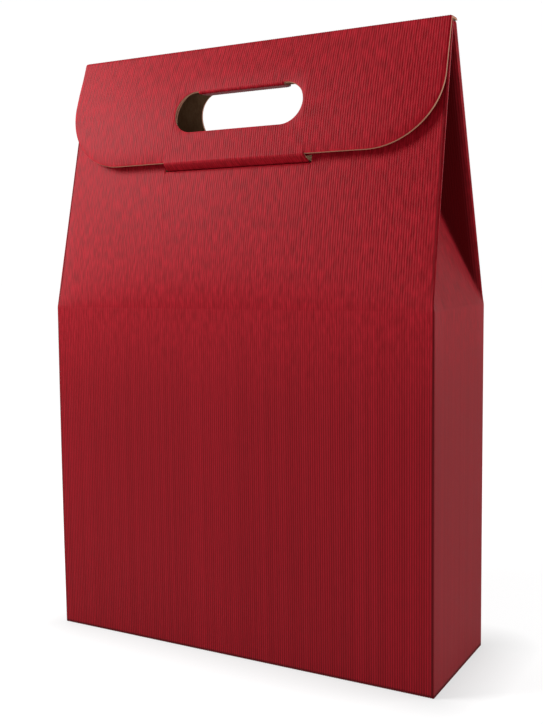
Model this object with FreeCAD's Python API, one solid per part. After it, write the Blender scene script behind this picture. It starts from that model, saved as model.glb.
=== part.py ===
import FreeCAD, Part
import math
import os

V = FreeCAD.Vector

# Carrier carton for three bottles, folded from one sheet of fine open-flute board.
# Millimetres and degrees. X runs along the ridge, -Y is the front, +Z is up.
# The origin is in the middle of the bottom.

# Board and outer form
board = 1.6                # thickness of the board, ribs included
carton_width = 255.0       # outside, three bottles side by side
carton_depth = 85.0        # outside, one bottle deep
crease_height = 208.0      # the walls stand upright up to here and lean in above it
ridge_height = 362.5       # top edges of the leaning panels
side_lean_in = 3.0         # the leaning panels are narrower at the ridge by this much on each side
gusset_rise = 128.0        # up the side sheet, from its cross crease to where its folds meet
ridge_play = 0.7           # spring of the folds in each half of the ridge

# Lid: a narrow top over the ridge, then a flap down the front
lid_side_gap = 0.5         # the lid is narrower than the ridge by this much on each side
lid_drop = 71.5            # down the front, from the ridge to the lid's lower edge
lid_corner = 41.0          # radius of the lid's lower corners
lid_spring = 3.0           # angle by which the flap stands off the front panel
fold_gap = 0.3             # play left in a fold or beside a folded edge

# Tuck tab on the lid and its slot in the front panel
slot_height = 84.0         # lower edge of the slot, up the leaning panel from the crease
slot_opening = 4.5         # size of the slot up the panel
slot_width = 99.0
tab_fold_width = 94.0      # at the lid's lower edge
tab_width = 96.5           # where it goes through the slot
tab_reach = 6.5            # how far it goes in, short of the bottle's neck
tab_corner = 4.0
tab_play = 0.5             # between the tab and the slot's lower edge

# Hand hole through the lid, the front panel and the back panel
hole_width = 86.0
hole_height = 26.0
hole_drop = 40.5           # from the ridge down the lid to the middle of the hole
hole_margin = 4.1          # the holes in the panels are larger all round than the lid's

# Tongue cut out of the lid's hand hole and folded in
tongue_width = 58.0
tongue_length = 10.0
tongue_corner = 4.0
tongue_angle = 109.0       # turned in by this much from flush with the lid

# Bottom flaps, glue seam and divider
seam_offset = 9.0          # the long flaps meet this far from the middle line
seam_run = 36.0            # half length of the slanted middle of that seam
seam_gap = 0.6
side_flap_length = 62.0
side_flap_slant = 9.0      # how much narrower the side flaps are at each side of their free end
glue_flap_width = 18.0
glue_flap_slant = 6.0
divider_height = 160.0
divider_play = 0.6

# Worked out from the sizes above
half_width = carton_width / 2
half_depth = carton_depth / 2
lid_width = carton_width - 2 * (side_lean_in + lid_side_gap)
ridge_half = 2 * board + ridge_play     # front panel and one gusset wing, each side of the middle
lean_rise = ridge_height - crease_height
lean_run = half_depth - ridge_half
lean = math.degrees(math.atan2(lean_run, lean_rise))
lean_length = math.hypot(lean_run, lean_rise)
side_slope = side_lean_in / lean_rise
floor_height = 2 * board

# The leaning front panel's own frame: x along the ridge, y up the panel, z out of its red face
front_frame = FreeCAD.Placement(V(0, -half_depth, crease_height), FreeCAD.Rotation(V(1, 0, 0), 90 - lean))

# The lid flap's own frame: origin in the fold over the ridge, on the flap's inner face
lid_fold = V(0, -ridge_half - fold_gap, ridge_height)
lid_frame = FreeCAD.Placement(lid_fold, FreeCAD.Rotation(V(1, 0, 0), 90 - lean - lid_spring))


def polygon(points):
    """Flat face through the points, in order."""
    return Part.Face(Part.makePolygon(points + [points[0]]))


def convex_solid(corners, faces):
    """Solid from its corners and, for each face, the numbers of its corners in order."""
    shell = Part.makeShell([polygon([corners[i] for i in face]) for face in faces])
    solid = Part.makeSolid(shell)
    if solid.Volume < 0:
        solid.reverse()
    return solid


def mirrored(shape, axis):
    return shape.mirror(V(0, 0, 0), axis)


def centred_box(width, depth, low, high):
    return Part.makeBox(width, depth, high - low, V(-width / 2, -depth / 2, low))


def stadium(width, height, middle, low, high, frame):
    """Solid with a long hole's outline in the frame's x and y, between two heights of its z."""
    radius = height / 2
    reach = width / 2 - radius
    ends = [V(side * reach, middle, low) for side in (-1, 1)]
    solid = Part.makeBox(2 * reach, height, high - low, V(-reach, middle - radius, low))
    for end in ends:
        solid = solid.fuse(Part.makeCylinder(radius, high - low, end))
    solid = solid.removeSplitter()
    solid.Placement = frame
    return solid


def plane_meet(planes):
    """Point where three planes meet; each plane is a point and a normal."""
    (p1, n1), (p2, n2), (p3, n3) = planes
    total = n2.cross(n3) * p1.dot(n1) + n3.cross(n1) * p2.dot(n2) + n1.cross(n2) * p3.dot(n3)
    return total * (1 / n1.dot(n2.cross(n3)))


def gusset_points():
    """Crease corners, ridge end and the point where the gusset's folds meet, on the right-hand side."""
    front = V(half_width, -half_depth, crease_height)
    back = V(half_width, half_depth, crease_height)
    ridge = V(half_width - side_lean_in, 0, ridge_height)
    foot = V(half_width, 0, crease_height)
    line = ridge - foot
    # The folded sheet keeps its lengths: crease corner to apex, and ridge end to apex
    edge = (ridge - front).Length
    to_ridge_squared = half_depth ** 2 + (edge - gusset_rise) ** 2
    along = (gusset_rise ** 2 - to_ridge_squared + line.Length ** 2) / (2 * line.Length)
    inset = math.sqrt(gusset_rise ** 2 - along ** 2)
    line.normalize()
    apex = foot + line * along + V(-line.z, 0, line.x) * inset
    return front, back, ridge, apex


def recess(grow, reach):
    """Hollow outside the folded gusset: two wings, the tilted middle and an open side at +X.

    Its three card faces are moved out by grow, and its open side lies reach beyond the wall.
    """
    front, back, ridge, apex = gusset_points()
    front_normal = (apex - front).cross(ridge - front).normalize()
    if front_normal.y > 0:
        front_normal = front_normal * -1
    back_normal = V(front_normal.x, -front_normal.y, front_normal.z)
    middle_normal = (apex - front).cross(back - front).normalize()
    if middle_normal.z > 0:
        middle_normal = middle_normal * -1
    front_wing = (front + front_normal * grow, front_normal)
    back_wing = (back + back_normal * grow, back_normal)
    middle = (front + middle_normal * grow, middle_normal)
    side = (V(half_width + reach, 0, 0), V(1, 0, 0))
    corners = [plane_meet(three) for three in (
        (front_wing, back_wing, middle), (front_wing, middle, side),
        (back_wing, middle, side), (front_wing, back_wing, side))]
    return convex_solid(corners, [(0, 1, 2), (0, 1, 3), (0, 2, 3), (1, 2, 3)])


def wing_tops():
    """The two gusset wings pressed together above the apex, on the middle plane of the carton."""
    _, _, ridge, apex = gusset_points()
    inner = ridge - V(half_depth, 0, 0)
    face = polygon([V(p.x, -board, p.z) for p in (ridge, inner, apex)])
    return face.extrude(V(0, 2 * board, 0))


def tent(inset, bottom, top):
    """Outer form of the carton, all walls moved in by inset, cut off at the heights given."""
    slant = inset / math.cos(math.radians(lean))
    lean_slope = lean_run / lean_rise
    turn = crease_height - (slant - inset) / lean_slope
    top_half = half_depth - slant - (top - crease_height) * lean_slope
    side = half_depth - inset
    section = polygon([V(0, -side, bottom), V(0, side, bottom), V(0, side, turn), V(0, top_half, top),
                       V(0, -top_half, top), V(0, -side, turn)])
    section.translate(V(-half_width, 0, 0))
    wide = half_width - inset
    top_wide = wide - (top - crease_height) * side_slope
    front_view = polygon([V(-wide, 0, bottom), V(wide, 0, bottom), V(wide, 0, crease_height),
                          V(top_wide, 0, top), V(-top_wide, 0, top), V(-wide, 0, crease_height)])
    front_view.translate(V(0, -half_depth, 0))
    return section.extrude(V(carton_width, 0, 0)).common(front_view.extrude(V(0, carton_depth, 0)))


def bottom_seam():
    """Cut line where the front and back bottom flaps meet on the underside, hooked in the middle."""
    inner = half_width - board
    line = [V(-inner, seam_offset, 0), V(-seam_run, seam_offset, 0), V(seam_run, -seam_offset, 0),
            V(inner, -seam_offset, 0)]
    upper = [p + V(0, seam_gap / 2, 0) for p in line]
    lower = [p - V(0, seam_gap / 2, 0) for p in reversed(line)]
    return polygon(upper + lower).extrude(V(0, 0, board))


def side_flap():
    """Inner bottom flap folded in from the right-hand wall, glued on the long flaps."""
    outer = half_width - board
    inner = outer - side_flap_length
    deep = half_depth - board
    narrow = deep - side_flap_slant
    face = polygon([V(outer, -deep, board), V(inner, -narrow, board), V(inner, narrow, board),
                    V(outer, deep, board)])
    return face.extrude(V(0, 0, board))


def flap_overlap():
    """Middle of the bottom, where the hooked ends of the long flaps lie on each other."""
    return centred_box(2 * seam_run, 4 * seam_offset, board, floor_height)


def glue_flap():
    """Glued strip that closes the sheet inside the left-hand wall, at the back corner."""
    wall = -half_width + board
    corner = half_depth - board
    edge = corner - glue_flap_width
    face = polygon([V(wall, corner, floor_height), V(wall, edge, floor_height + glue_flap_slant),
                    V(wall, edge, crease_height - glue_flap_slant), V(wall, corner, crease_height)])
    return face.extrude(V(board, 0, 0))


def carton_body():
    cavity = tent(board, board, ridge_height + board)
    outside = tent(0, 0, ridge_height)
    hollow_left = []
    for side in (1, -1):
        cut = recess(0, 10 * board)
        lining = recess(board, 10 * board).fuse(wing_tops())
        if side < 0:
            cut = mirrored(cut, V(1, 0, 0))
            lining = mirrored(lining, V(1, 0, 0))
        outside = outside.cut(cut)
        hollow_left.append(lining)
    for lining in hollow_left:
        cavity = cavity.cut(lining)
    body = outside.cut(cavity)
    body = body.fuse([side_flap(), mirrored(side_flap(), V(1, 0, 0)), flap_overlap(), glue_flap()])
    slot = Part.makeBox(slot_width, slot_opening, 4 * board, V(-slot_width / 2, slot_height, -2 * board))
    slot.Placement = front_frame
    hole = stadium(hole_width + 2 * hole_margin, hole_height + 2 * hole_margin, lean_length - hole_drop,
                   -2 * board, board, front_frame)
    body = body.cut([slot, hole, mirrored(hole, V(0, 1, 0)), bottom_seam()])
    return body.removeSplitter()


def on_lid(down, out):
    """Point of the lid flap's section, down from the fold and out of its inner face."""
    return lid_frame.multVec(V(0, -down, out))


def on_front(up, out):
    """Point of the front panel's section, up from the crease and out of its red face."""
    return front_frame.multVec(V(0, up, out))


def along_x(face, width):
    face.translate(V(-width / 2, 0, 0))
    return face.extrude(V(width, 0, 0))


def lid_sheet():
    """Lid over its full width: top over the ridge, rounded fold and flap. Its back edge is bevelled
    at the hinge line, so that the lid can swing over to the back."""
    hinge = V(0, ridge_half, ridge_height)
    half_turn = math.radians((90 - lean - lid_spring) / 2)
    fold_middle = lid_fold + V(0, -math.sin(half_turn), math.cos(half_turn)) * board
    path = [
        Part.LineSegment(hinge, lid_fold),
        Part.LineSegment(lid_fold, on_lid(lid_drop, 0)),
        Part.LineSegment(on_lid(lid_drop, 0), on_lid(lid_drop, board)),
        Part.LineSegment(on_lid(lid_drop, board), on_lid(0, board)),
        Part.Arc(on_lid(0, board), fold_middle, lid_fold + V(0, 0, board)),
        Part.LineSegment(lid_fold + V(0, 0, board), hinge + V(0, -board, board)),
        Part.LineSegment(hinge + V(0, -board, board), hinge),
    ]
    face = Part.Face(Part.Wire([edge.toShape() for edge in path]))
    return along_x(face, lid_width)


def lid_corners():
    """What the rounded lower corners take off the lid, in the lid's frame."""
    cutters = []
    for side in (-1, 1):
        centre = V(side * (lid_width / 2 - lid_corner), lid_corner - lid_drop, -board)
        low_x = min(centre.x, centre.x + side * lid_corner)
        square = Part.makeBox(lid_corner, lid_corner, 3 * board, V(low_x, -lid_drop, -board))
        corner = square.cut(Part.makeCylinder(lid_corner, 3 * board, centre))
        corner.Placement = lid_frame
        cutters.append(corner)
    return cutters


def tuck_tab():
    """Tab that slants in from the lid's lower edge and goes straight through the slot."""
    low = slot_height + tab_play
    start_out, start_in = on_lid(lid_drop, board), on_lid(lid_drop, 0)
    section = polygon([start_out, on_front(low, 0), on_front(low, -tab_reach),
                       on_front(low + board, -tab_reach), on_front(low + board, board / 2), start_in])
    tab = along_x(section, tab_width)
    # Seen along the panel, the tab widens from its fold to the slot and has rounded free corners
    fold_out = front_frame.inverse().multVec(start_out).z
    outline = polygon([V(-tab_fold_width / 2, 0, fold_out), V(tab_fold_width / 2, 0, fold_out),
                       V(tab_width / 2, 0, 0), V(tab_width / 2, 0, -tab_reach),
                       V(-tab_width / 2, 0, -tab_reach), V(-tab_width / 2, 0, 0)])
    outline = outline.extrude(V(0, lean_length, 0))
    corners = [edge for edge in outline.Edges
               if abs(edge.Vertexes[0].Z + tab_reach) < 0.01 and abs(edge.Vertexes[1].Z + tab_reach) < 0.01
               and abs(edge.Vertexes[0].X - edge.Vertexes[1].X) < 0.01]
    outline = outline.makeFillet(tab_corner, corners)
    outline.Placement = front_frame
    return tab.common(outline)


def lid():
    hole = stadium(hole_width, hole_height, -hole_drop, -board, 2 * board, lid_frame)
    sheet = lid_sheet().cut(lid_corners() + [hole])
    return sheet.fuse(tuck_tab()).removeSplitter()


def hand_hole_flap():
    """Tongue made flush in the hand hole, then turned in about the hole's top edge."""
    top = hole_height / 2 - hole_drop
    tongue = Part.makeBox(tongue_width, tongue_length, board,
                          V(-tongue_width / 2, top - fold_gap - tongue_length, 0))
    corners = [edge for edge in tongue.Edges
               if all(abs(v.Y - (top - fold_gap - tongue_length)) < 0.01 for v in edge.Vertexes)
               and abs(edge.Vertexes[0].X - edge.Vertexes[1].X) < 0.01]
    tongue = tongue.makeFillet(tongue_corner, corners)
    tongue.rotate(V(0, top, 0), V(1, 0, 0), tongue_angle)
    tongue.Placement = lid_frame.multiply(tongue.Placement)
    return tongue


def bottle_divider():
    """Strip folded into two double fins, standing on the bottom flaps against the back wall."""
    back = half_depth - board - divider_play
    front = -half_depth + board + divider_play
    reach = half_width - 2 * board - divider_play
    cell = (carton_width - 2 * board - 4 * board) / 3
    fin_near = cell / 2
    low, high = floor_height, floor_height + divider_height
    strip = Part.makeBox(2 * reach, board, high - low, V(-reach, back - board, low))
    fins = [Part.makeBox(2 * board, back - front, high - low, V(x, front, low))
            for x in (fin_near, -fin_near - 2 * board)]
    return strip.fuse(fins).removeSplitter()


os.makedirs("parts", exist_ok=True)
for name, make in (("carton_body", carton_body), ("lid", lid), ("hand_hole_flap", hand_hole_flap),
                   ("bottle_divider", bottle_divider)):
    shape = make()
    shape.exportStep(f"parts/{name}.step")
    box = shape.BoundBox
    print(name, "solids", len(shape.Solids), "valid", shape.isValid(), "volume", round(shape.Volume),
          "size", round(box.XLength, 1), round(box.YLength, 1), round(box.ZLength, 1), "top", round(box.ZMax, 2))
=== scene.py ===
import math

import bmesh
import bpy
import numpy as np
from mathutils import Matrix, Vector


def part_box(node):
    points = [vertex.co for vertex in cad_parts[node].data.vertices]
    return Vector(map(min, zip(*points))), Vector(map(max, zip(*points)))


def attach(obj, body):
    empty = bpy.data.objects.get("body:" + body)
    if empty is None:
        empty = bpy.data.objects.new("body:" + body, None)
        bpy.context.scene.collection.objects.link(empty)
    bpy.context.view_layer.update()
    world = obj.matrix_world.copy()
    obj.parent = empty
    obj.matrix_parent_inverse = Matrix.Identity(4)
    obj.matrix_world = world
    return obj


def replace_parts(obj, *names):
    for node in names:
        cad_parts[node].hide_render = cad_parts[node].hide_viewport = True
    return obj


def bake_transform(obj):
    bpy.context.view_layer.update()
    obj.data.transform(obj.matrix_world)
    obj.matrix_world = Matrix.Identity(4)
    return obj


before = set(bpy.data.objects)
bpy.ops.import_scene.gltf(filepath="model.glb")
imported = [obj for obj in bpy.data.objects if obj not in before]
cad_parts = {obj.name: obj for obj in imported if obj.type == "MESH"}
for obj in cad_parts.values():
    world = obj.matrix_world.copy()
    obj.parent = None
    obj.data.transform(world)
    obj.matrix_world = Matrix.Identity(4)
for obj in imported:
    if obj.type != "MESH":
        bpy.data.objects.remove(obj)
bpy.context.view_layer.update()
print("frame loaded")

# Lengths are in millimetres up to the moment a mesh is made, and metres after it
toMetres = 0.001
hair = 0.005    # half the distance between two columns at one place


def sizeOf(node):
    low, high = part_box(node)
    return [(b - a) / toMetres for a, b in zip(low, high)]


# The board: one sheet with its flutes standing open on the red side
board = {
    "thickness": 1.6,
    "ribCount": 486,          # flutes round the whole carton
    "ribDepth": 0.17,
    "columnsPerRib": 4,
    "foldRadius": 1.1,        # reach of the rounding on each side of a fold
    "cutCrush": 0.42,         # how far a cut edge is pressed down
    "cutCrushWidth": 1.1,
    "creaseCrush": 0.10,      # the same at the cross crease
    "creaseCrushWidth": 1.6,
    "foldMargin": 0.3,        # a panel ends this far past the rounding of a corner fold
    "foldSamples": 5,         # points of the sheet, each way, whose mean rounds a fold
}

# The carton, folded from that sheet
carton = {
    "creaseHeight": 208.0,
    "gussetRise": 128.0,
    "ridgeHalf": 3.9,         # from the middle plane to the outside of a leaning panel, at the ridge
    "ridgeHeight": 362.5,
    "leanIn": 3.0,            # the leaning panels are narrower at the ridge by this much on each side
    "wingSlope": 0.2,         # how fast a wing leaves the panel that it is folded from
    "wingGap": 0.12,          # between the two gusset wings where they are pressed together
    "creaseBend": 9.0,        # half the length over which the wide panels bend at the cross crease
    "bendAtEnds": 0.0005,     # what is left of it at their ends, as a squared share
    "creaseRows": 6.0,        # the mesh is finer up to this far above that crease
    "frontBow": 5.0,          # how far the leaning front panel bellies out
    "backBow": 1.5,
    "bowShift": 0.75,         # under 1 puts the fullest part of the bow below the middle
    "seamOffset": 9.0,
    "seamRun": 36.0,
    "seamGap": 0.6,
    "cornerLap": 0.2,         # a side panel's edge reaches this far under the front panel's
    "thinnest": 0.05,         # what is left of a sheet where two are pressed into one corner
    "thinFrom": 3.0,          # the sheets grow thinner from this far below the cross crease
    "sway": 0.5,              # the real carton isn't square: its crease line lies this far to the right,
    "squeeze": 2.4,           # and its left end this much further
    "swayFade": 1.5,          # power by which that dies away towards the bottom and the ridge
}

# The slot for the lid's tab, measured up the leaning panel from the cross crease
slot = {
    "low": 84.0,
    "high": 88.5,
    "halfWidth": 49.5,
    "levelRow": 0.6,          # the mesh has a level row this far past the slot's pressed edges
}

hole = {
    "halfWidth": 43.0,
    "radius": 13.0,
    "drop": 40.5,             # from the ridge down to its middle
    "panelMargin": 4.1,       # the holes in the panels are this much larger all round
}

width, depth = sizeOf("carton_body")[:2]
halfWidth, halfDepth = width / 2, depth / 2
ribPitch = 2 * (width + depth) / board["ribCount"]
thick = board["thickness"]
crease = carton["creaseHeight"]
leanRise = carton["ridgeHeight"] - crease
leanRun = halfDepth - carton["ridgeHalf"]
leanLength = math.hypot(leanRun, leanRise)
leanSin, leanCos = leanRun / leanLength, leanRise / leanLength


def gussetPoints():
    # the sheet keeps its lengths, from the crease corner to the apex and from the ridge end to it
    rise = carton["gussetRise"]
    corner = np.array([halfWidth, -halfDepth, crease])
    ridge = np.array([halfWidth - carton["leanIn"], 0, carton["ridgeHeight"]])
    foot = np.array([halfWidth, 0, crease])
    edge = np.linalg.norm(ridge - corner)
    toRidgeSquared = halfDepth ** 2 + (edge - rise) ** 2
    line = ridge - foot
    length = np.linalg.norm(line)
    line = line / length
    along = (rise ** 2 - toRidgeSquared + length ** 2) / (2 * length)
    inward = np.array([-line[2], 0, line[0]])
    return corner, ridge, foot + line * along + inward * math.sqrt(rise ** 2 - along ** 2), edge


cornerPoint, ridgePoint, apexPoint, slantEdge = gussetPoints()


def unit(vectors):
    return vectors / np.linalg.norm(vectors, axis=-1, keepdims=True)


def bowShape(x, up):
    across = np.clip(1 - (x / halfWidth) ** 2, 0, 1)
    along = np.clip(up / leanLength, 0, 1) ** carton["bowShift"]
    return across * np.sin(math.pi * along)


def frontFold(x, up):
    # the front panel with its bottom flap, its upright wall and its leaning top
    flap = np.clip(-crease - up, 0, None)
    bend = carton["creaseBend"] * np.sqrt(np.clip(1 - (x / halfWidth) ** 2, carton["bendAtEnds"], 1))
    lean = np.where(up > bend, up, np.clip(up + bend, 0, None) ** 2 / (4 * bend))
    aside = np.clip(np.abs(x) - slot["halfWidth"], 0, None) / (halfWidth - slot["halfWidth"])
    x = x - np.sign(x) * carton["leanIn"] * aside * lean / leanLength
    y = -halfDepth + flap + lean * leanSin
    z = crease + np.clip(up, -crease, None) - lean + lean * leanCos
    return np.stack([x, y, z], -1)


def sideFold(y, up):
    # the right-hand wall and its gusset: a tilted middle, and two wings folded in against each other
    rise = carton["gussetRise"]
    away = np.abs(y)
    apex, corner, ridge = apexPoint, cornerPoint, ridgePoint
    upright = np.stack([np.full_like(y, halfWidth), -away, crease + up], -1)
    middle = np.stack([halfWidth + up * (apex[0] - halfWidth) / rise, -away,
                       crease + up * (apex[2] - crease) / rise], -1)
    wingUp = (ridge - corner) / slantEdge
    wingAcross = (apex - corner - rise * wingUp) / halfDepth
    wing = corner + (halfDepth - away)[:, None] * wingAcross + up[:, None] * wingUp
    topLength = math.hypot(halfDepth, slantEdge - rise)
    topAlong = (ridge - apex) / topLength
    topAcross = np.array([-topAlong[2], 0, topAlong[0]])
    along = (away * halfDepth + (up - rise) * (slantEdge - rise)) / topLength
    across = ((up - rise) * halfDepth - away * (slantEdge - rise)) / topLength
    top = apex + along[:, None] * topAlong + across[:, None] * topAcross
    onWing = up > rise * (1 - away / halfDepth)
    onTop = up > rise + (slantEdge - rise) * away / halfDepth
    place = np.where((up > 0)[:, None], middle, upright)
    place = np.where((onWing & (up > 0))[:, None], wing, place)
    place = np.where(onTop[:, None], top, place)
    place[:, 1] = np.where(up > 0, np.minimum(place[:, 1], -carton["wingGap"]), place[:, 1])
    place[:, 1] *= np.where(y > 0, -1, 1)
    return place


def sway(points):
    # moves points to the right, most at the cross crease and not at all at the bottom and the ridge
    height = points[..., 2]
    above = (carton["ridgeHeight"] - height) / leanRise
    share = np.clip(np.minimum(height / crease, above), 0, 1) ** carton["swayFade"]
    amount = carton["sway"] + carton["squeeze"] * np.clip(-points[..., 0] / halfWidth, 0, 1)
    points[..., 0] += share * amount
    return points


def cartonFold(q, up):
    # q runs round the carton from its front left corner, up along the flutes from the cross crease
    half = width + depth
    turned = np.floor(q / half) % 2 == 1
    q = q % half
    x = q - halfWidth
    front = frontFold(x, up)
    bow = np.where(turned, carton["backBow"], carton["frontBow"])
    front[:, 1] -= bow * bowShape(x, up)
    place = np.where((q < width)[:, None], front, sideFold(q - width - halfDepth, up))
    place[:, :2] *= np.where(turned, -1, 1)[:, None]
    return sway(place)


def softened(fold, q, up, acrossToo=True):
    # the mean over a small patch of the sheet rounds every fold in it
    steps = np.linspace(-1, 1, board["foldSamples"]) * board["foldRadius"]
    total = 0
    for du in steps:
        for dq in steps if acrossToo else [0]:
            total = total + fold(q + dq, up + du)
    return total / (len(steps) ** (2 if acrossToo else 1))


def normalOf(surface, q, up):
    step = 0.3
    across = surface(q + step, up) - surface(q - step, up)
    along = surface(q, up + step) - surface(q, up - step)
    return unit(np.cross(across, along))


def ribs(q):
    return board["ribDepth"] * (0.5 - 0.5 * np.cos(2 * math.pi * q / ribPitch))


def smoothStep(t):
    t = np.clip(t, 0, 1)
    return t * t * (3 - 2 * t)


def stadiumDistance(x, y, halfLength, radius):
    return np.hypot(np.clip(np.abs(x) - (halfLength - radius), 0, None), y) - radius


def stadiumHalf(x, halfLength, radius):
    over = np.clip(np.abs(x) - (halfLength - radius), 0, radius)
    return np.sqrt(radius ** 2 - over ** 2)


def columnsBetween(start, end, extra):
    # rib columns, with the extra ones in place of any that would lie too close to them
    step = ribPitch / board["columnsPerRib"]
    tooClose = 0.05
    even = np.arange(math.ceil(start / step), math.floor(end / step) + 1) * step
    extra = np.unique(np.concatenate([np.array(extra, float), [start, end]]))
    extra = extra[(extra >= start) & (extra <= end)]
    near = np.abs(even[:, None] - extra[None, :]).min(1) < tooClose
    return np.sort(np.concatenate([even[~near], extra]))


def jump(*places):
    # two columns a hair apart, where a cut runs along the flutes
    return [p + d for p in places for d in (-hair, hair)]


def roundEnds(middle, half, steps=(0, 0.03, 0.12)):
    # columns close together at both ends of a rounded outline, where it runs along the flutes
    return [middle + side * (half - step) for side in (-1, 1) for step in steps]


meshLimits = {
    "row": 1e-4,              # millimetres: a lower row has no faces
    "weld": 1e-6,             # metres
    "edge": 1e-7,
}


def stationRows(stations):
    # stations run up the flutes: a curve of heights, the rows to the next one, and if it is cut there
    rows, cuts = [], []
    for (curve, steps, cut), (following, _, _) in zip(stations[:-1], stations[1:]):
        for step in range(steps):
            rows.append(curve + (following - curve) * step / steps)
            cuts.append(cut)
    rows.append(stations[-1][0])
    return np.array(rows), cuts


def sheetFaces(heights, cuts):
    # corner numbers of all faces, outer points first, and their looks: 0 outside, 1 inside, 2 cut edge
    lines, count = heights.shape
    total = lines * count
    number = np.arange(total).reshape(lines, count)
    faces, looks = [], []

    def add(corners, look):
        faces.append(np.stack(corners, 1))
        looks.append(np.full(len(corners[0]), look))

    def cap(row, upward, where):
        a, b = row[where], row[where + 1]
        add([a, b, b + total, a + total] if upward else [b, a, a + total, b + total], 2)

    everywhere = np.arange(count - 1)
    cap(number[0], False, everywhere)
    cap(number[-1], True, everywhere)
    for line, cut in enumerate(cuts):
        a, b = number[line], number[line + 1]
        tall = heights[line + 1] - heights[line] > meshLimits["row"]
        where = np.flatnonzero(tall[:-1] | tall[1:])
        if cut:
            cap(a, True, where)
            cap(b, False, where)
            continue
        add([a[where], a[where + 1], b[where + 1], b[where]], 0)
        add([v + total for v in (b[where], b[where + 1], a[where + 1], a[where])], 1)
        if tall[0]:
            add([a[:1], b[:1], b[:1] + total, a[:1] + total], 2)
        if tall[-1]:
            add([b[-1:], a[-1:], a[-1:] + total, b[-1:] + total], 2)
    return np.concatenate(faces), np.concatenate(looks)


def sharpenLooks(build):
    # an edge is smooth only where the faces beside it look the same
    for edge in build.edges:
        edge.smooth = len({face.material_index for face in edge.link_faces}) == 1


def sheetMesh(name, columns, stations, place, upShift=0.0):
    heights, cuts = stationRows(stations)
    q, up = np.tile(columns, len(heights)), heights.ravel()
    outer, inner, groove = place(q, up)
    faces, looks = sheetFaces(heights, cuts)
    mesh = bpy.data.meshes.new(name)
    mesh.from_pydata(np.concatenate([outer, inner]) * toMetres, [], faces.tolist())
    mesh.polygons.foreach_set("material_index", looks.astype(np.int32))
    layer = np.repeat([0.0, 1.0], len(q))
    where = np.stack([np.tile(q, 2) * toMetres, (np.tile(up, 2) + upShift) * toMetres, layer], -1)
    sheet = mesh.attributes.new("sheetPlace", "FLOAT_VECTOR", "POINT")
    sheet.data.foreach_set("vector", where.astype(np.float32).ravel())
    # painted shade, in depths of a groove, for the red paper's colour
    depths = mesh.attributes.new("groove", "FLOAT", "POINT")
    depths.data.foreach_set("value", np.tile(groove, 2).astype(np.float32))
    build = bmesh.new()
    build.from_mesh(mesh)
    bmesh.ops.remove_doubles(build, verts=build.verts, dist=meshLimits["weld"])
    bmesh.ops.dissolve_degenerate(build, edges=build.edges, dist=meshLimits["edge"])
    sharpenLooks(build)
    for face in build.faces:
        face.smooth = True
    build.to_mesh(mesh)
    build.free()
    return mesh


def addObject(name, data):
    made = bpy.data.objects.new(name, data)
    bpy.context.scene.collection.objects.link(made)
    return made


def placePiece(name, mesh, body, finishes):
    piece = addObject(name, mesh)
    for finish in finishes:
        mesh.materials.append(finish)
    if body:
        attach(piece, body)
    return piece


# Materials


class Wire:
    # a socket that can be used in sums
    def __init__(self, paint, socket):
        self.paint = paint
        self.socket = socket

    def __add__(self, other):
        return self.paint.maths("ADD", self, other)

    def __radd__(self, other):
        return self.paint.maths("ADD", other, self)

    def __sub__(self, other):
        return self.paint.maths("SUBTRACT", self, other)

    def __rsub__(self, other):
        return self.paint.maths("SUBTRACT", other, self)

    def __mul__(self, other):
        return self.paint.maths("MULTIPLY", self, other)

    def __rmul__(self, other):
        return self.paint.maths("MULTIPLY", other, self)


class Paint:
    # one material: its nodes are added by calls, and its shader is fed at the end
    def __init__(self, name, tree=None):
        if tree is None:
            self.material = bpy.data.materials.new(name)
            self.material.use_nodes = True
            tree = self.material.node_tree
        self.tree = tree

    def feed(self, socket, value):
        if isinstance(value, Wire):
            self.tree.links.new(value.socket, socket)
        else:
            socket.default_value = value

    def node(self, kind, settings=None, sockets=None, out=0):
        made = self.tree.nodes.new(kind)
        for name, value in (settings or {}).items():
            if name == "stops":
                ramp = made.color_ramp.elements
                while len(ramp) < len(value):
                    ramp.new(0.5)
                for stop, (position, shade) in zip(ramp, value):
                    stop.position = position
                    stop.color = (shade, shade, shade, 1)
            else:
                setattr(made, name, value)
        for name, value in (sockets or {}).items():
            self.feed(made.inputs[name], value)
        return Wire(self, made.outputs[out])

    def attribute(self, name, out):
        return self.node("ShaderNodeAttribute", {"attribute_name": name}, out=out)

    def part(self, vector, which):
        return self.node("ShaderNodeSeparateXYZ", {}, {0: vector}, out=which)

    def maths(self, operation, *values):
        return self.node("ShaderNodeMath", {"operation": operation}, dict(enumerate(values)))

    def vectorMaths(self, operation, *values, out=0):
        return self.node("ShaderNodeVectorMath", {"operation": operation}, dict(enumerate(values)), out)

    def mixColour(self, factor, a, b):
        return self.node("ShaderNodeMix", {"data_type": "RGBA"}, {0: factor, 6: a, 7: b}, out=2)

    def noise(self, vector, stretch, detail, roughness=0.5, shift=(0, 0, 0)):
        place = self.vectorMaths("MULTIPLY_ADD", vector, stretch, shift)
        return self.node("ShaderNodeTexNoise", {}, {
            "Vector": place, "Scale": 1.0, "Detail": detail, "Roughness": roughness})

    def between(self, value, start, end, low, high, shape="SMOOTHSTEP"):
        return self.node("ShaderNodeMapRange", {"interpolation_type": shape}, {
            0: value, 1: start, 2: end, 3: low, 4: high})

    def bump(self, look, height):
        return self.node("ShaderNodeBump", {}, {
            "Strength": look["bumpStrength"], "Distance": look["fibreHeight"], "Height": height})

    def ramp(self, value, stops):
        return self.node("ShaderNodeValToRGB", {"stops": stops}, {0: value})

    def finish(self, **sockets):
        shader = next(n for n in self.tree.nodes if n.type == "BSDF_PRINCIPLED")
        for name, value in sockets.items():
            self.feed(shader.inputs[name.replace("_", " ")], value)
        return self.material


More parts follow.
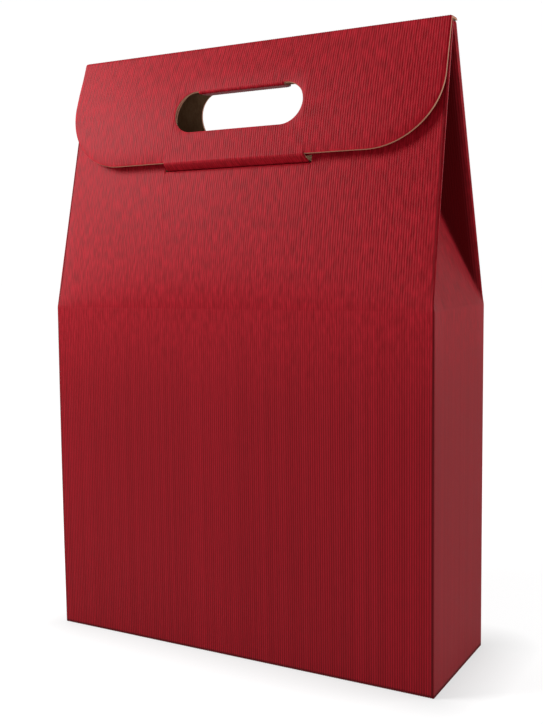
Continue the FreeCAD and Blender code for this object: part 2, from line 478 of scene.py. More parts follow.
redBoard = {
    # deep: the colour that painted shade mixes towards, in the grooves and dark places
    "deep": (0.085, 0.0003, 0.002, 1),
    "plain": (0.205, 0.0008, 0.005, 1),
    # lighter red, for random tone and for the painted highlights of the streaks
    "light": (0.375, 0.006, 0.016, 1),
    "middleShade": 0.36,          # from plain, 0, to light, 1
    "streaks": (780, 130, 0),     # short wavy streaks per metre, across and along the flutes: random tone and painted flute highlights
    "streakStops": ((0.33, 0), (0.67, 1)),
    "streakStrength": 0.74,
    "waves": (150, 90, 0),        # how closely those waver, and how far to each side
    "waveWidth": 0.0010,
    "streakyFrom": -0.07,         # heights from the cross crease between which the streaks grow
    "streakyTo": 0.03,
    "streakLeast": 0.2,           # from this part of their strength
    "ribToneStrength": 0.28,      # how much one flute may differ from the next in tone
    "ribToneShare": 1.3,          # that and the painted shade of the grooves are weaker where there are streaks
    # how far a full groove is painted towards deep, as painted shade
    "grooveShade": 0.75,
    "grooveShare": 1.4,
    "grooveLoss": 0.85,
    "clouds": (22, 14, 0),
    "cloudStrength": 0.2,
    "fibres": (2600, 900, 0),
    "fibreShare": 0.25,
    "fibreHeight": 0.00010,
    "bumpStrength": 0.7,
    "gloss": 0.095,
    "roughness": 0.5,
    "roughnessSpread": 0.12,
    "darkFrom": 1.2,              # painted shade deeper than a groove's marks dark places, which are rougher too
    "darkRoughness": 0.25,
}


def makeRedBoard():
    paint = Paint("redFlutedPaper")
    look = redBoard
    place = paint.attribute("sheetPlace", 1)
    groove = paint.attribute("groove", 2)
    waver = paint.noise(place, look["waves"], 1, shift=(5.3, 1.9, 0)) - 0.5
    aside = paint.node("ShaderNodeCombineXYZ", {}, {0: waver * look["waveWidth"]})
    streak = paint.noise(paint.vectorMaths("ADD", place, aside), look["streaks"], 1)
    rib = paint.maths("FLOOR", paint.part(place, 0) * (1 / (ribPitch * toMetres)))
    tone = paint.node("ShaderNodeTexWhiteNoise", {"noise_dimensions": "1D"}, {"W": rib})
    cloud = paint.noise(place, look["clouds"], 2, shift=(3.1, 7.7, 0))
    fibre = paint.noise(place, look["fibres"], 3, 0.6)
    streaky = paint.between(
        paint.part(place, 1), look["streakyFrom"], look["streakyTo"], look["streakLeast"], 1.0)
    # streaks: random tone and painted flute highlights, strongest from the cross crease up and on the lid
    bright = paint.ramp(streak, look["streakStops"]) - 0.5
    varied = bright * look["streakStrength"] * streaky
    varied = varied + (tone - 0.5) * look["ribToneStrength"] * (look["ribToneShare"] - streaky)
    shade = look["middleShade"] + varied + (cloud - 0.5) * look["cloudStrength"]
    colour = paint.mixColour(shade, look["plain"], look["light"])
    # painted shade: the grooves and dark places, mixed towards deep
    paintedShadeShare = groove * look["grooveShade"] * (look["grooveShare"] - look["grooveLoss"] * streaky)
    colour = paint.mixColour(paintedShadeShare, colour, look["deep"])
    bump = paint.bump(look, streak * streaky + fibre * look["fibreShare"])
    dark = paint.maths("MAXIMUM", groove - look["darkFrom"], 0.0)
    rough = look["roughness"] + streak * look["roughnessSpread"] + dark * look["darkRoughness"]
    return paint.finish(Base_Color=colour, Roughness=rough, Normal=bump, Specular_IOR_Level=look["gloss"])


kraftPaper = {
    "dark": (0.17, 0.088, 0.043, 1),
    "light": (0.34, 0.200, 0.108, 1),
    "clouds": (90, 90, 90),
    "fibres": (900, 900, 260),
    "toneStops": ((0.32, 0), (0.68, 1)),
    "fibreHeight": 0.00004,
    "bumpStrength": 0.5,
    "gloss": 0.3,
    "roughness": 0.75,
    "roughnessSpread": 0.12,
}


def makeKraft():
    paint = Paint("kraftPaper")
    look = kraftPaper
    place = paint.node("ShaderNodeTexCoord", {}, out=3)
    cloud = paint.noise(place, look["clouds"], 5, 0.65)
    fibre = paint.noise(place, look["fibres"], 4, 0.7)
    tone = paint.ramp(cloud * 0.5 + fibre * 0.5, look["toneStops"])
    colour = paint.mixColour(tone, look["dark"], look["light"])
    rough = look["roughness"] + fibre * look["roughnessSpread"]
    bump = paint.bump(look, fibre)
    return paint.finish(Base_Color=colour, Roughness=rough, Normal=bump, Specular_IOR_Level=look["gloss"])


cutEdge = {
    "fresh": (0.42, 0.20, 0.125, 1),
    "shaded": (0.24, 0.10, 0.06, 1),
    "redRim": (0.30, 0.02, 0.03, 1),
    "rimPart": 0.16,          # share of the edge, from the outside in, that the red paper takes
    # how dark the plies of the board are, from the outside in
    "plies": ((0.0, 0.9), (0.25, 0.5), (0.33, 0.15), (0.42, 0.1), (0.9, 0.0), (1.0, 0.5)),
    "plyStrength": 0.7,
    "fibreStrength": 0.45,
    "fibres": (1400, 1400, 1400),
    "fibreHeight": 0.00008,
    "bumpStrength": 0.6,
    "gloss": 0.25,
    "roughness": 0.8,
}


def makeCutEdge():
    paint = Paint("cutBoardEdge")
    look = cutEdge
    layer = paint.part(paint.attribute("sheetPlace", 1), 2)
    fibre = paint.noise(paint.node("ShaderNodeTexCoord", {}, out=3), look["fibres"], 4, 0.7)
    tone = paint.ramp(layer, look["plies"]) * look["plyStrength"] + fibre * look["fibreStrength"]
    colour = paint.mixColour(tone, look["fresh"], look["shaded"])
    rim = paint.ramp(layer, ((0.0, 1), (look["rimPart"], 0)))
    return paint.finish(
        Base_Color=paint.mixColour(rim, colour, look["redRim"]), Roughness=look["roughness"],
        Normal=paint.bump(look, fibre), Specular_IOR_Level=look["gloss"])


red, kraft, edge = makeRedBoard(), makeKraft(), makeCutEdge()
boardFinish = (red, kraft, edge)
flapFinish = (kraft, edge)
print("materials made")

# The carton's four walls. Painted shade, in dark lines and places on its paper, is given in depths of a
# flute's groove

paintedShades = {
    "score": 1.9,             # painted shade of a pressed line beside each slanted edge
    "scoreInset": 1.9,        # its distance from that edge
    "scoreInsetBelow": 0.3,   # and from the upright edge below the cross crease
    "scoreRise": 12.0,        # height over which it moves from the one to the other
    "scoreWidth": 0.45,
    "foot": 1.6,              # painted shade along the fold that the carton stands on
    "footReach": 2.2,
    "recess": 3.0,            # painted shade on the wings deep in a gusset
    "recessReach": 9.0,       # from the slanted edge to where that is in full
    "recessFade": 16.0,       # height over which it fades across the fold to the middle part
    "recessStart": 0.7,       # share of the fade that lies below that fold
}


def panelHole():
    return hole["halfWidth"] + hole["panelMargin"], hole["radius"] + hole["panelMargin"]


def cutDistancePanel(x, up, hasSlot):
    distance = stadiumDistance(x, up - (leanLength - hole["drop"]), *panelHole())
    distance = np.minimum(distance, leanLength - up)
    if hasSlot:
        middle = (slot["low"] + slot["high"]) / 2
        outX = np.abs(x) - slot["halfWidth"]
        outY = np.abs(up - middle) - (slot["high"] - slot["low"]) / 2
        apart = np.hypot(np.clip(outX, 0, None), np.clip(outY, 0, None))
        distance = np.minimum(distance, apart + np.minimum(np.maximum(outX, outY), 0))
    return distance


def boardDepth(q, up):
    # beside a gusset fold the front panel and its wing share the room between their red faces
    half = width + depth
    around = q % half
    away = np.minimum(np.abs(around - width), np.minimum(around, half - around))
    room = carton["ridgeHalf"] * np.clip(up, 0, None) / leanLength + carton["wingSlope"] * away
    shared = np.clip(room / 2, carton["thinnest"], thick)
    return thick + (shared - thick) * np.clip(up / carton["thinFrom"] + 1, 0, 1)


def dressed(surface, inside, q, up, cutDistance, sunk=0, dark=0):
    # outer and inner faces of the sheet, ribs and pressed edges included, and its painted shade: the depth
    # of its groove plus its dark places
    normal = normalOf(surface, q, up)
    outer = surface(q, up)
    depthHere = boardDepth(q, up)
    pressed = smoothStep(1 - cutDistance / board["cutCrushWidth"])
    rib = ribs(q) * (1 - pressed)
    sink = (rib + board["cutCrush"] * pressed + sunk) * np.clip(depthHere / thick, 0, 1)
    inner = outer - normal * depthHere[:, None] if inside is None else inside(q, up)
    return outer - normal * sink[:, None], inner, rib / board["ribDepth"] + dark


def creasePress(up):
    return board["creaseCrush"] * np.exp(-(up / board["creaseCrushWidth"]) ** 2)


# painted shade of a crease: a dark line beside each slanted edge
def scoreShade(x, up):
    below = paintedShades["scoreInsetBelow"]
    inset = below + (paintedShades["scoreInset"] - below) * smoothStep(up / paintedShades["scoreRise"])
    return paintedShades["score"] * np.exp(-((halfWidth - np.abs(x) - inset) / paintedShades["scoreWidth"]) ** 2)


# painted shade along the fold that the carton stands on
def footShade(up):
    return paintedShades["foot"] * np.clip(2 - 2 * (up + crease) / paintedShades["footReach"], 0, 1)


# painted shade on the gusset wings, fading towards their slanted edge and across their fold
def recessShade(away, up):
    beyond = up - carton["gussetRise"] * (1 - away / halfDepth)
    fade = smoothStep(beyond / paintedShades["recessFade"] + paintedShades["recessStart"])
    return paintedShades["recess"] * smoothStep((halfDepth - away) / paintedShades["recessReach"]) * fade


def wallSurface(q, up):
    return softened(cartonFold, q, up)


def addWall(name, columns, stations, place):
    mesh = sheetMesh(name, columns, stations, place)
    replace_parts(placePiece(name, mesh, "carton", boardFinish), "carton_body")


def makeFacePanel(name, start, hasSlot):
    # front or back: bottom flap, upright wall and leaning panel in one run of flutes
    rounding, press = board["foldRadius"], board["cutCrushWidth"]
    lap = rounding + board["foldMargin"]
    holeX, holeR = panelHole()
    flapHalf = halfWidth - thick
    middle = start + halfWidth
    special = roundEnds(middle, holeX)
    special += jump(*(middle + side * half for side in (-1, 1) for half in (flapHalf, slot["halfWidth"])))
    columns = columnsBetween(start - lap, start + width + lap, special)
    x = columns - middle
    onFlap = np.abs(x) < flapHalf
    run, offset = carton["seamRun"], carton["seamOffset"]
    flapReach = halfDepth + np.interp(x, [-run, run], [offset, -offset]) - carton["seamGap"] / 2
    flat = np.zeros_like(x)

    def flapRow(amount):
        return np.where(onFlap, -crease - amount, -crease)

    inSlot = (np.abs(x) < slot["halfWidth"]) & hasSlot
    slotMiddle = (slot["low"] + slot["high"]) / 2
    slotLow = np.where(inSlot, slot["low"], slotMiddle)
    slotHigh = np.where(inSlot, slot["high"], slotMiddle)
    holeMiddle = leanLength - hole["drop"]
    holeHalf = stadiumHalf(x, holeX, holeR)
    besideSlot = press + slot["levelRow"]
    stations = [
        (flapRow(flapReach), 1, False), (flapRow(flapReach - press), 1, False),
        (flapRow(rounding), 2, False), (flat - crease, 4, False),
        (flat - crease + paintedShades["footReach"], 4, False), (flat - rounding, 2, False),
        (flat, 2, False), (flat + rounding, 1, False), (flat + carton["creaseRows"], 7, False),
        (flat + slot["low"] - besideSlot, 1, False), (slotLow - press, 2, False), (slotLow, 1, True),
        (slotHigh, 2, False), (slotHigh + press, 1, False), (flat + slot["high"] + besideSlot, 2, False),
        (holeMiddle - holeHalf - press, 2, False), (holeMiddle - holeHalf, 1, True),
        (holeMiddle + holeHalf, 2, False), (holeMiddle + holeHalf + press, 3, False),
        (flat + leanLength - press, 2, False), (flat + leanLength, 1, False),
    ]

    def place(q, up):
        distance = cutDistancePanel(q - middle, up, hasSlot)
        # painted shade beside the slanted edges and along the foot
        dark = scoreShade(q - middle, up) + footShade(up)
        return dressed(wallSurface, None, q, up, distance, creasePress(up), dark)

    addWall(name, columns, stations, place)


def makeSidePanel(name, start):
    # side wall and gusset, laid just under the front and back panels at its two edges
    rounding, lap = board["foldRadius"], carton["cornerLap"]
    inset = rounding + board["foldMargin"]
    middle = start + halfDepth
    special = roundEnds(middle, halfDepth - inset, (0,)) + [middle]
    columns = columnsBetween(start + inset - lap, start + depth - inset + lap, special)
    away = np.abs(columns - middle)
    rise = carton["gussetRise"]
    flat = np.zeros_like(columns)
    diagonal = rise * (1 - away / halfDepth)
    diagonalReach = rounding * (1 + rise / halfDepth)
    upper = rise + (slantEdge - rise) * away / halfDepth
    upperReach = rounding * (1 + (slantEdge - rise) / halfDepth)
    # heights of the gusset's folds, each with the rows up to the next one
    curves = [
        (flat - crease, 4), (flat - crease + paintedShades["footReach"], 4), (flat - rounding, 2), (flat, 2),
        (flat + rounding, 6), (diagonal - diagonalReach, 4), (diagonal, 4), (diagonal + diagonalReach, 5),
        (upper - upperReach, 2), (upper, 2), (upper + upperReach, 2), (flat + leanLength, 1)]
    heights = np.maximum.accumulate(np.array([c for c, _ in curves]))
    heights = np.minimum(heights, leanLength)
    stations = [(h, steps, False) for h, (_, steps) in zip(heights, curves)]

    def place(q, up):
        aside = np.abs(q - middle)
        under = lap * (aside > halfDepth - inset + hair)
        # painted shade deep in the gussets and along the foot
        dark = recessShade(aside, up) + footShade(up)
        return dressed(wallSurface, None, q, up, leanLength - up, creasePress(up) + under, dark)

    addWall(name, columns, stations, place)


makeFacePanel("frontPanel", 0, True)
makeSidePanel("rightPanel", width)
makeFacePanel("backPanel", width + depth, False)
makeSidePanel("leftPanel", 2 * width + depth)
print("carton walls made")

# The lid: a narrow top over the ridge, a flap down the front, and the tab that tucks into the slot

lid = {
    "drop": 71.5,
    "corner": 41.0,
    "spring": 3.0,
    "foldGap": 0.3,
    "tabFoldHalf": 47.0,
    "tabHalf": 48.25,
    "tabReach": 6.5,
    "tabCorner": 4.0,
    "tabPlay": 0.5,
    "tabFoldBelow": 1.2,      # the tab's fold lies this far below the lid's lower edge
    "tabFoldRow": 0.99,       # the upper row of that fold's rounding, kept clear of the lower edge
    "bow": 3.0,               # how far the lid's middle bellies out more than the front panel
    "tuck": 1.6,              # how far its right corner lies nearer to the panel than the left one
    "flare": 2.2,             # how far its left edge reaches out further down,
    "flareStart": 30.0,       # in full from this far down
    "hingeReach": 0.01,       # sheet this near to the hinge is the hinge line
    "toneShift": 80.0,        # its streaks aren't those of the panel below it
}

lidHalf = sizeOf("lid")[0] / 2
springAngle = math.atan2(leanRun, leanRise) + math.radians(lid["spring"])
springSin, springCos = math.sin(springAngle), math.cos(springAngle)


def onLid(drop, out):
    y = -carton["ridgeHalf"] - lid["foldGap"] - drop * springSin - out * springCos
    return y, carton["ridgeHeight"] - drop * springCos + out * springSin


def lidBow(x, drop):
    across = np.clip(1 - (x / halfWidth) ** 2, 0, 1)
    own = lid["bow"] * across * np.sin(math.pi * np.clip(drop / lid["drop"], 0, 1))
    return carton["frontBow"] * bowShape(x, leanLength - drop) + own


def onFront(up, out):
    y = -halfDepth + up * leanSin - out * leanCos
    return y, crease + up * leanCos + out * leanSin


def lidPaths():
    # section of the lid's outer and inner faces, each point with its distance from the hinge
    ridge, top = carton["ridgeHalf"], carton["ridgeHeight"]
    above = (thick - thick * springSin) / springCos
    low = slot["low"] + lid["tabPlay"]
    outer = [(ridge, top), (ridge - thick, top + thick), onLid(-above, thick), onLid(lid["drop"], thick)]
    distances = [0]
    for a, b in zip(outer[:-1], outer[1:]):
        distances.append(distances[-1] + math.dist(a, b))
    foldDistance, edgeDistance = distances[2] + above, distances[3]
    foldDrop = lid["drop"] + lid["tabFoldBelow"]
    tabOuter = [onLid(foldDrop, thick), onFront(low, 0), onFront(low, -lid["tabReach"])]
    outer = outer[:3] + tabOuter
    distances = distances[:3] + [edgeDistance + lid["tabFoldBelow"]]
    for a, b in zip(tabOuter[:-1], tabOuter[1:]):
        distances.append(distances[-1] + math.dist(a, b))
    inner = [(ridge, top), (ridge - thick, top), onLid(0, 0), onLid(foldDrop, 0),
             onFront(low + thick, thick / 2), onFront(low + thick, -lid["tabReach"])]
    innerDistances = distances[:2] + [(distances[2] + foldDistance) / 2] + distances[3:]
    return np.array(outer), np.array(distances), np.array(inner), np.array(innerDistances), foldDistance


lidOuter, lidOuterAt, lidInner, lidInnerAt, lidFoldAt = lidPaths()
lidTabAt = lidOuterAt[3]
lidEndAt = lidOuterAt[-1]


def lidPath(points, distances, q, up):
    x = q - halfWidth
    along = np.clip((-up - lidTabAt) / (lidEndAt - lidTabAt), 0, 1)
    widen = 1 + (lid["tabHalf"] / lid["tabFoldHalf"] - 1) * along
    beyond = np.clip(-up - distances[-1], 0, None)
    before = np.clip(up, 0, None)
    endWay = unit(points[-1] - points[-2])
    startWay = unit(points[0] - points[1])
    y = np.interp(-up, distances, points[:, 0]) + beyond * endWay[0] + before * startWay[0]
    z = np.interp(-up, distances, points[:, 1]) + beyond * endWay[1] + before * startWay[1]
    drop = np.clip(-up - lidFoldAt, 0, None)
    y = y - lidBow(x, drop)
    y = y + lid["tuck"] * np.clip(x / halfWidth, 0, 1) ** 2 * drop / lid["drop"]
    flare = lid["flare"] * np.clip(-x / halfWidth, 0, 1) ** 3 * smoothStep(drop / lid["flareStart"])
    return np.stack([x * widen - flare, y, z], -1)


def lidSurface(q, up):
    return softened(lambda a, b: lidPath(lidOuter, lidOuterAt, a, b), q, up, acrossToo=False)


def lidInside(q, up):
    return softened(lambda a, b: lidPath(lidInner, lidInnerAt, a, b), q, up, acrossToo=False)


def lidCutDistance(x, drop):
    far = 99
    aside = lidHalf - np.abs(x)
    below = np.where(np.abs(x) < lid["tabFoldHalf"], far, lid["drop"] - drop)
    corner = lid["corner"]
    overX = np.clip(np.abs(x) - (lidHalf - corner), 0, None)
    overY = np.clip(drop - (lid["drop"] - corner), 0, None)
    rounded = corner - np.hypot(overX, overY)
    distance = np.where((overX > 0) & (overY > 0), rounded, np.minimum(aside, below))
    distance = np.where(drop > lid["drop"], far, distance)
    apart = stadiumDistance(x, drop - hole["drop"], hole["halfWidth"], hole["radius"])
    return np.minimum(distance, apart)


def makeLid():
    special = roundEnds(halfWidth, lidHalf, (0, 0.03, 0.12, 0.5)) + roundEnds(halfWidth, hole["halfWidth"])
    special += jump(halfWidth - lid["tabFoldHalf"], halfWidth + lid["tabFoldHalf"])
    columns = columnsBetween(halfWidth - lidHalf, halfWidth + lidHalf, special)
    x = columns - halfWidth
    flat = np.zeros_like(x)
    corner = lid["corner"]
    overX = np.clip(np.abs(x) - (lidHalf - corner), 0, corner)
    lowEdge = lidFoldAt + lid["drop"] - corner + np.sqrt(corner ** 2 - overX ** 2)
    onTab = np.abs(x) < lid["tabFoldHalf"]
    tabOver = np.clip(np.abs(x) - (lid["tabFoldHalf"] - lid["tabCorner"]), 0, lid["tabCorner"])
    tabEnd = lidEndAt - lid["tabCorner"] + np.sqrt(np.clip(lid["tabCorner"] ** 2 - tabOver ** 2, 0, None))
    end = np.where(onTab, tabEnd, lowEdge)
    holeMiddle = lidFoldAt + hole["drop"]
    holeHalf = stadiumHalf(x, hole["halfWidth"], hole["radius"])
    press, rounding = board["cutCrushWidth"], board["foldRadius"]
    # distances from the hinge, from the tab's end back to the hinge
    curves = [
        (end, 1, False), (flat + lidOuterAt[4] + rounding, 2, False),
        (flat + lidOuterAt[4] - rounding, 1, False), (flat + lidTabAt + rounding, 2, False),
        (flat + lidTabAt - rounding * lid["tabFoldRow"], 1, False),
        (lowEdge, 2, False), (lowEdge - press, 3, False),
        (holeMiddle + holeHalf + press, 2, False), (holeMiddle + holeHalf, 1, True),
        (holeMiddle - holeHalf, 2, False), (holeMiddle - holeHalf - press, 3, False),
        (flat + lidFoldAt + rounding, 3, False), (flat + lidOuterAt[2] - rounding, 2, False),
        (flat + lidOuterAt[1] + rounding, 3, False), (flat, 1, False)]
    distances = np.minimum.accumulate(np.array([c for c, _, _ in curves]))
    stations = [(-d, steps, cut) for d, (_, steps, cut) in zip(distances, curves)]

    def place(q, up):
        distance = lidCutDistance(q - halfWidth, -up - lidFoldAt)
        outer, inner, groove = dressed(lidSurface, lidInside, q, up, distance)
        thin = smoothStep(-up / lidOuterAt[1])[:, None]    # the hinge line has no thickness to cut into
        bare = lidSurface(q, up)
        level = np.ones_like(q)
        flatEnd = np.stack([q - halfWidth, carton["ridgeHalf"] * level, carton["ridgeHeight"] * level], -1)
        onHinge = (up > -lid["hingeReach"])[:, None]
        outer = np.where(onHinge, flatEnd, bare + (outer - bare) * thin)
        return outer, np.where(onHinge, flatEnd, inner), groove

    mesh = sheetMesh("lidSheet", columns, stations, place, leanLength + lid["toneShift"])
    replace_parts(placePiece("lidSheet", mesh, "lid", boardFinish), "lid")


makeLid()
print("lid made")

# The tongue in the hand hole, bent in over the fingers

tongue = {
    "halfWidth": 29.0,
    "length": 10.0,
    "corner": 4.0,
    "angle": 109.0,
    "foldLength": 3.0,        # length of sheet that the bend takes up
    "foldEnd": 0.1,           # the mesh ends this far short of it
    "lift": 0.02,             # its kraft side stands this far off the lid's inner face
    "blendBack": 0.6,         # the bend ends this far behind that face
}


def tonguePlace(out):
    # below zero the sheet runs straight; from zero up it turns back round the fold to the lid's face
    top = hole["drop"] - hole["radius"]
    full = math.radians(tongue["angle"])

    def surface(q, up):
        x = q - halfWidth
        turn = full * np.clip(1 - up / tongue["foldLength"], 0, 1)
        along = np.clip(-up, 0, None) - np.clip(up - tongue["foldLength"], 0, None)
        drop = top + along * np.cos(turn) + out * np.sin(turn)
        outward = -along * np.sin(turn) + out * np.cos(turn)
        y, z = onLid(drop, outward)
        return np.stack([x, y - lidBow(x, top), z], -1)

    return surface


def makeTongue():
    half, length, corner = tongue["halfWidth"], tongue["length"], tongue["corner"]
    columns = columnsBetween(halfWidth - half, halfWidth + half, roundEnds(halfWidth, half))
    x = np.abs(columns - halfWidth)
    over = np.clip(x - (half - corner), 0, corner)
    straight = lid["foldGap"] + length - corner
    end = straight + np.sqrt(corner ** 2 - over ** 2)
    flat = np.zeros_like(end)
    stations = [
        (-end, 2, False), (-end + board["cutCrushWidth"], 5, False), (flat - lid["foldGap"], 10, False),
        (flat + tongue["foldLength"] - tongue["foldEnd"], 1, False)]

    def place(q, up):
        aside = half - np.abs(q - halfWidth)
        overX = np.clip(np.abs(q - halfWidth) - (half - corner), 0, None)
        overY = np.clip(-up - straight, 0, None)
        distance = np.minimum(aside, lid["foldGap"] + length + up)
        distance = np.where((overX > 0) & (overY > 0), corner - np.hypot(overX, overY), distance)
        return dressed(tonguePlace(thick), tonguePlace(tongue["lift"]), q, up, distance)

    mesh = sheetMesh("handTongue", columns, stations, place, leanLength + lid["toneShift"])
    piece = placePiece("handTongue", mesh, None, boardFinish)
    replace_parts(piece, "hand_hole_flap")
    top = hole["drop"] - hole["radius"]
    for outward in (thick, -tongue["blendBack"]):
        y, z = onLid(top + thick / 2, outward)
        (y - lidBow(0, top)) * toMetres
        z * toMetres
    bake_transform(piece)


makeTongue()
print("tongue made")

# Inside: glued flaps, glue strip and the divider

inside = {
    "sideFlapLength": 62.0,
    "sideFlapSlant": 9.0,
    "glueWidth": 18.0,
    "glueSlant": 6.0,
    "glueTop": 1.0,           # the glue strip ends this far below the cross crease
    "lift": 0.05,             # glued sheets lie this far off each other
    "paperRounding": 0.25,
    "foldReach": 1.2,         # the divider's mesh is finer this far to each side of a fold,
    "foldRows": 4,            # in this many rows
    "foldRounding": 0.55,
    "dividerGap": 0.03,       # it is this much thinner on each side where it lies against itself
}


def plate(name, outline, normal):
    # flat piece of board: its outline moved along the normal by its thickness
    thickness = thick - inside["lift"]
    outline = sway(np.array(outline, float))
    mesh = bpy.data.meshes.new(name)
    build = bmesh.new()
    face = build.faces.new([build.verts.new(Vector(p) * toMetres) for p in outline])
    face.normal_update()
    if face.normal.dot(Vector(normal)) > 0:
        face.normal_flip()
    raised = bmesh.ops.extrude_face_region(build, geom=[face])
    moved = [v for v in raised["geom"] if isinstance(v, bmesh.types.BMVert)]
    bmesh.ops.translate(build, verts=moved, vec=Vector(normal) * thickness * toMetres)
    bmesh.ops.recalc_face_normals(build, faces=build.faces)
    for side in build.faces:
        side.material_index = 0 if abs(side.normal.dot(Vector(normal))) > 0.5 else 1
    bmesh.ops.bevel(build, geom=build.edges[:], offset=inside["paperRounding"] * toMetres, segments=2,
                    affect="EDGES", profile=0.5)
    build.to_mesh(mesh)
    build.free()
    placePiece(name, mesh, "carton", flapFinish)


def makeFlaps():
    outer, deep = halfWidth - thick - inside["lift"], halfDepth - thick - inside["lift"]
    narrow = deep - inside["sideFlapSlant"]
    free = outer - inside["sideFlapLength"]
    low = thick + inside["lift"]
    for side, name in ((1, "bottomFlapRight"), (-1, "bottomFlapLeft")):
        outline = [(side * outer, -deep, low), (side * free, -narrow, low), (side * free, narrow, low),
                   (side * outer, deep, low)]
        plate(name, outline, (0, 0, 1))
    run, offset = carton["seamRun"], 2 * carton["seamOffset"]
    outline = [(-run, -offset, low), (run, -offset, low), (run, offset, low), (-run, offset, low)]
    plate("bottomOverlap", outline, (0, 0, 1))
    wall = -halfWidth + thick + inside["lift"]
    front = deep - inside["glueWidth"]
    bottom = 2 * thick + inside["lift"]
    outline = [(wall, deep, bottom), (wall, front, bottom + inside["glueSlant"]),
               (wall, front, crease - inside["glueSlant"]), (wall, deep, crease - inside["glueTop"])]
    plate("glueStrip", outline, (1, 0, 0))


def makeDivider():
    # one strip: along the back wall, and folded forward and back again into two fins
    low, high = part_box("bottle_divider")
    low, high = [v / toMetres for v in low], [v / toMetres for v in high]
    # three cells between two walls and two double fins
    cell = (width - 6 * thick) / 3
    tip, wall = low[1] + thick / 2, high[1] - thick / 2
    route = [(low[0], wall)]
    for middle in (-cell / 2 - thick, cell / 2 + thick):
        route += [(middle - thick / 2, wall), (middle - thick / 2, tip), (middle + thick / 2, tip),
                  (middle + thick / 2, wall)]
    route.append((high[0], wall))
    points = np.array(route)
    lengths = np.concatenate([[0], np.cumsum(np.linalg.norm(np.diff(points, axis=0), axis=1))])
    fold = np.linspace(-1, 1, 2 * inside["foldRows"] + 1) * inside["foldReach"]
    marks = np.concatenate([[0, lengths[-1]], (lengths[1:-1, None] + fold).ravel()])
    marks = np.unique(np.round(marks, 3))

    def line(at):
        # the mean over a short run rounds the folds
        rounding = inside["foldRounding"]
        spread = [at + d for d in np.linspace(-rounding, rounding, board["foldSamples"])]
        means = [np.mean([np.interp(s, lengths, axis) for s in spread], 0) for axis in points.T]
        return np.stack(means, -1)

    middle = line(marks)
    step = 0.1
    way = unit(line(marks + step) - line(marks - step))
    aside = np.stack([way[:, 1], -way[:, 0]], -1) * (thick / 2 - inside["dividerGap"])
    build = bmesh.new()
    rings = []
    for p, a in zip(middle, aside):
        corners = sway(np.array([
            (*(p + a), low[2]), (*(p - a), low[2]), (*(p - a), high[2]), (*(p + a), high[2])]))
        rings.append([build.verts.new(Vector(c) * toMetres) for c in corners])
    for one, two in zip(rings[:-1], rings[1:]):
        for k in range(4):
            face = build.faces.new([one[k], one[(k + 1) % 4], two[(k + 1) % 4], two[k]])
            face.material_index = 0 if k in (1, 3) else 1
            face.smooth = k in (1, 3)
    for ring in (rings[0], rings[-1]):
        end = build.faces.new(ring)
        end.material_index = 1
    bmesh.ops.recalc_face_normals(build, faces=build.faces)
    sharpenLooks(build)
    mesh = bpy.data.meshes.new("dividerStrip")
    build.to_mesh(mesh)
    build.free()
    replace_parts(placePiece("dividerStrip", mesh, "carton", flapFinish), "bottle_divider")


makeFlaps()
makeDivider()
print("inside pieces made")

# Floor, light and camera

studio = {
    "floorHalf": 6.0,
    "floorColour": (0.22, 0.22, 0.22, 1),
    "glowInPaintedShadow": 0.64,       # the floor's own glow beside the carton, dimmed there as a painted shadow,
    "glowBeyond": 0.23,       # more of it past that painted shadow's reach,
    "glowFar": 0.07,          # and more again between the two distances to the horizon
    # reach of that painted shadow
    "shadowReach": 0.035,
    "horizon": (0.35, 1.5),
    "worldBack": 1.01,        # brightness behind the carton, and in front of it
    "worldFront": 0.0,
    "worldEdge": (0.15, 0.8),         # cosines to backWay between which the one grows to the other
    "horizonGlow": 0.75,              # a bright band all round the horizon,
    "horizonHeight": (0.10, 0.34),    # which fades between these sines of the height
    "backWay": (-0.49, 0.87, 0.10),
    "aim": (0, 0, 0.2),
}

lamps = {
    "keyLamp": {"place": (-0.62, -0.45, 0.66), "size": 0.35, "power": 9.4},
    "highLamp": {"place": (-0.5, -0.45, 0.95), "size": 0.35, "power": 3.2},
    "sideLamp": {"place": (1.1, 0.45, 0.5), "size": 0.6, "power": 7.6},
}


def makeFloor():
    mesh = bpy.data.meshes.new("floor")
    half = studio["floorHalf"]
    corners = [(-half, -half, 0), (half, -half, 0), (half, half, 0), (-half, half, 0)]
    mesh.from_pydata(corners, [], [(0, 1, 2, 3)])
    paint = Paint("paleFloor")
    # the floor glows: dimmer beside the carton as a painted shadow, brighter towards the horizon
    place = paint.node("ShaderNodeTexCoord", {}, out=3)
    foot = (halfWidth * toMetres, halfDepth * toMetres, 0)
    beside = paint.vectorMaths("SUBTRACT", paint.vectorMaths("ABSOLUTE", place), foot)
    away = paint.vectorMaths("LENGTH", paint.vectorMaths("MAXIMUM", beside, (0, 0, 0)), out=1)
    near = studio["glowInPaintedShadow"]
    glowAndPaintedShadow = paint.between(away, 0.0, studio["shadowReach"], near, near + studio["glowBeyond"], "LINEAR")
    glowAndPaintedShadow = glowAndPaintedShadow + paint.between(away, *studio["horizon"], 0.0, studio["glowFar"])
    mesh.materials.append(paint.finish(
        Base_Color=studio["floorColour"], Roughness=0.9, Specular_IOR_Level=0.1,
        Emission_Color=paint.mixColour(glowAndPaintedShadow, (0, 0, 0, 1), (1, 1, 1, 1)), Emission_Strength=1.0))
    addObject("floor", mesh)


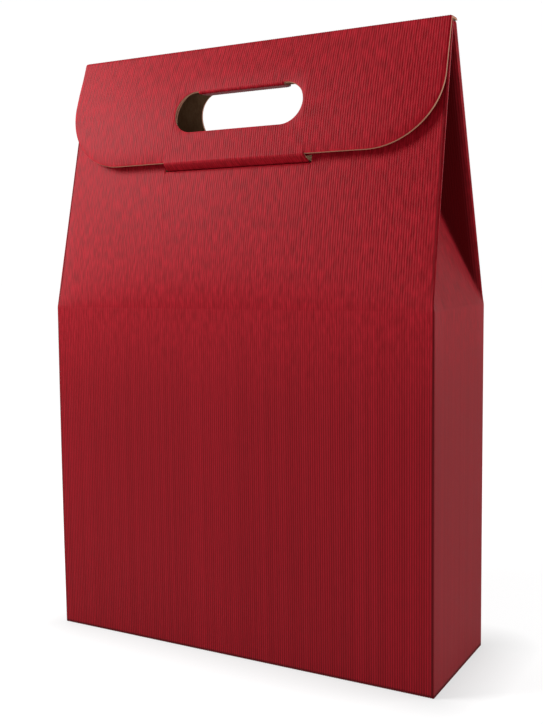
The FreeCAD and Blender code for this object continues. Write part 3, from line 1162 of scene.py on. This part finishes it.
def makeWorld():
    world = bpy.data.worlds.new("studio")
    bpy.context.scene.world = world
    world.use_nodes = True
    paint = Paint("", world.node_tree)
    way = paint.node("ShaderNodeTexCoord", {}, out=0)
    facing = paint.vectorMaths("DOT_PRODUCT", way, studio["backWay"], out=1)
    share = paint.between(facing, *studio["worldEdge"], studio["worldFront"], studio["worldBack"])
    band = paint.between(paint.part(way, 2), *studio["horizonHeight"], studio["horizonGlow"], 0.0)
    background = next(n for n in world.node_tree.nodes if n.type == "BACKGROUND")
    background.inputs[0].default_value = (1, 1, 1, 1)
    paint.feed(background.inputs[1], paint.maths("MAXIMUM", share, band))


def makeLamp(name, lamp):
    light = bpy.data.lights.new(name, "AREA")
    light.shape = "DISK"
    light.size = lamp["size"]
    light.energy = lamp["power"]
    holder = addObject(name, light)
    holder.location = lamp["place"]
    way = Vector(studio["aim"]) - Vector(lamp["place"])
    holder.rotation_mode = "QUATERNION"
    holder.rotation_quaternion = way.to_track_quat("-Z", "Y")


# The camera of the photograph, worked out from the carton's corners
viewpoint = {
    "place": (0.304106, -0.527915, 0.239418),
    "azimuth": 29.317,
    "down": 6.2376,
    "roll": -0.98544,
    "focalPixels": 993.36,
    "pictureHeight": 724,
    "sensor": 36.0,
    "nearest": 0.01,
}


def makeCamera():
    turn, down, roll = (math.radians(viewpoint[k]) for k in ("azimuth", "down", "roll"))
    ahead = Vector((-math.sin(turn) * math.cos(down), math.cos(turn) * math.cos(down), -math.sin(down)))
    level = Vector((math.cos(turn), math.sin(turn), 0))
    over = level.cross(ahead)
    right = level * math.cos(roll) + over * math.sin(roll)
    up = over * math.cos(roll) - level * math.sin(roll)
    camera = bpy.data.cameras.new("camera")
    camera.sensor_width = viewpoint["sensor"]
    camera.lens = viewpoint["focalPixels"] * viewpoint["sensor"] / viewpoint["pictureHeight"]
    camera.clip_start = viewpoint["nearest"]
    holder = addObject("camera", camera)
    rows = zip(right, up, -ahead, viewpoint["place"])
    holder.matrix_world = Matrix((*rows, (0, 0, 0, 1)))
    bpy.context.scene.camera = holder


makeFloor()
makeWorld()
for name, lamp in lamps.items():
    makeLamp(name, lamp)
makeCamera()
bpy.context.scene.view_settings.view_transform = "Standard"
print("stage, lights and camera made")
